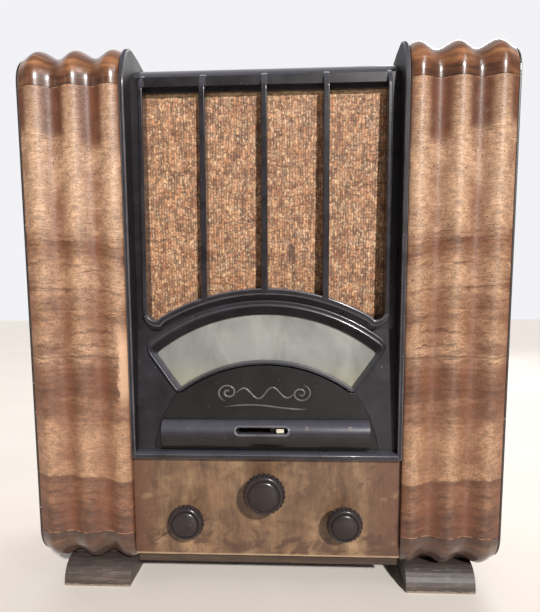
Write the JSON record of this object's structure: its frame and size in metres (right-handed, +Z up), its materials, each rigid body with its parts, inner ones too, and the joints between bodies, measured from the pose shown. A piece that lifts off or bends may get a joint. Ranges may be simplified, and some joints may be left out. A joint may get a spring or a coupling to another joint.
{
  "type": "table radio",
  "caption": "Upright 1930s table radio: fluted walnut pilasters, black bakelite grille and fan dial, control knobs on a wooden apron, low feet, vented rear cover.",
  "frame": {"origin": "centre of the footprint, on the surface that the feet stand on", "axes": "+Z up, +X to the right of someone facing the dial, -Y out of the front"},
  "size_m": [0.43, 0.26, 0.497],
  "materials": {
    "walnut": "aged glossy walnut veneer, honey with dark figure",
    "dark_edge": "walnut veneered side with a dark stained front edge",
    "plywood": "bare plywood",
    "foot": "worn dark stain",
    "board": "brown fibreboard",
    "bakelite": "black-brown bakelite, glossy on the edges and dusty on the flats",
    "cloth": "gold and brown woven grille cloth",
    "glass": "frosted grey-green",
    "valve_glass": "clear with a silvered crown",
    "steel": "dull plated steel",
    "brass": "dull brass",
    "paper": "black pressed paper",
    "ivory": "cream enamel"
  },
  "bodies": {
    "cabinet": {"side_board_left": "dark_edge", "side_board_right": "dark_edge", "pilaster_left": "walnut", "pilaster_right": "walnut", "pilaster_top_corner_left": "walnut", "pilaster_top_corner_right": "walnut", "pilaster_bottom_corner_left": "walnut", "pilaster_bottom_corner_right": "walnut", "top_moulding_left": "walnut", "top_moulding_right": "walnut", "top_board": "walnut", "bottom_board": "walnut", "apron_panel": "walnut", "front_foot_left": "foot", "front_foot_right": "foot", "rear_foot_left": "foot", "rear_foot_right": "foot", "rear_cover": "board", "front_bezel": "bakelite", "dial_frame": "bakelite", "dial_glass": "glass", "escutcheon_bar": "bakelite", "grille_cloth": "cloth", "speaker_baffle": "plywood", "speaker_basket": "steel", "speaker_cone": "paper", "speaker_magnet": "steel", "tuning_bush": "brass", "tuning_bracket": "steel", "volume_potentiometer": "steel", "wave_switch": "steel", "capacitor_frame": "steel", "capacitor_stator": "steel", "dial_reflector": "ivory", "dial_lamp_left": "valve_glass", "dial_lamp_right": "valve_glass", "chassis": "steel", "mains_transformer": "steel", "output_transformer": "steel", "coil_can": "steel", "filter_capacitor": "steel", "detector_valve": "valve_glass", "output_valve": "valve_glass", "rectifier_valve": "valve_glass", "mains_inlet": "bakelite", "aerial_terminals": "board"},
    "tuning": {"tuning_knob": "bakelite", "tuning_shaft": "steel", "drive_pinion": "brass"},
    "tuning_capacitor": {"capacitor_rotor": "steel", "drive_disc": "brass", "pointer_pinion": "brass"},
    "dial_pointer": {"pointer": "brass"},
    "volume": {"volume_knob": "bakelite", "volume_shaft": "steel"},
    "wave_change": {"wave_change_knob": "bakelite", "wave_change_shaft": "steel"},
    "indicator": {"band_indicator": "ivory"},
    "latch_left": {"rear_latch_left": "brass"},
    "latch_right": {"rear_latch_right": "brass"}
  },
  "joints": [
    {"name": "tuning_turn", "type": "hinge", "parent": "cabinet", "child": "tuning", "pos_m": [0, -0.1005, 0.1035], "axis": [0, 1, 0], "range_deg": [-540, 540]},
    {"name": "capacitor_turn", "type": "hinge", "parent": "cabinet", "child": "tuning_capacitor", "pos_m": [0, -0.0595, 0.14], "axis": [0, 1, 0], "range_deg": [-90, 90]},
    {"name": "pointer_turn", "type": "hinge", "parent": "cabinet", "child": "dial_pointer", "pos_m": [0, -0.0645, 0.1035], "axis": [0, 1, 0], "range_deg": [-36, 36]},
    {"name": "volume_turn", "type": "hinge", "parent": "cabinet", "child": "volume", "pos_m": [-0.0716, -0.1005, 0.0737], "axis": [0, 1, 0], "range_deg": [-135, 135]},
    {"name": "wave_change_turn", "type": "hinge", "parent": "cabinet", "child": "wave_change", "pos_m": [0.0716, -0.1005, 0.0737], "axis": [0, 1, 0], "range_deg": [-60, 0]},
    {"name": "indicator_slide", "type": "slide", "parent": "cabinet", "child": "indicator", "axis": [1, 0, 0], "range_m": [-0.032, 0]},
    {"name": "latch_left_turn", "type": "hinge", "parent": "cabinet", "child": "latch_left", "pos_m": [-0.2104, 0.1272, 0.25], "axis": [0, 1, 0], "range_deg": [-90, 90]},
    {"name": "latch_right_turn", "type": "hinge", "parent": "cabinet", "child": "latch_right", "pos_m": [0.2104, 0.1272, 0.25], "axis": [0, 1, 0], "range_deg": [-90, 90]}
  ],
  "couplings": [
    {"joint": "capacitor_turn", "follows": "tuning_turn", "ratio": -0.16129},
    {"joint": "pointer_turn", "follows": "tuning_turn", "ratio": 0.065524},
    {"joint": "indicator_slide", "follows": "wave_change_turn", "m_per_rad": 0.03}
  ]
}
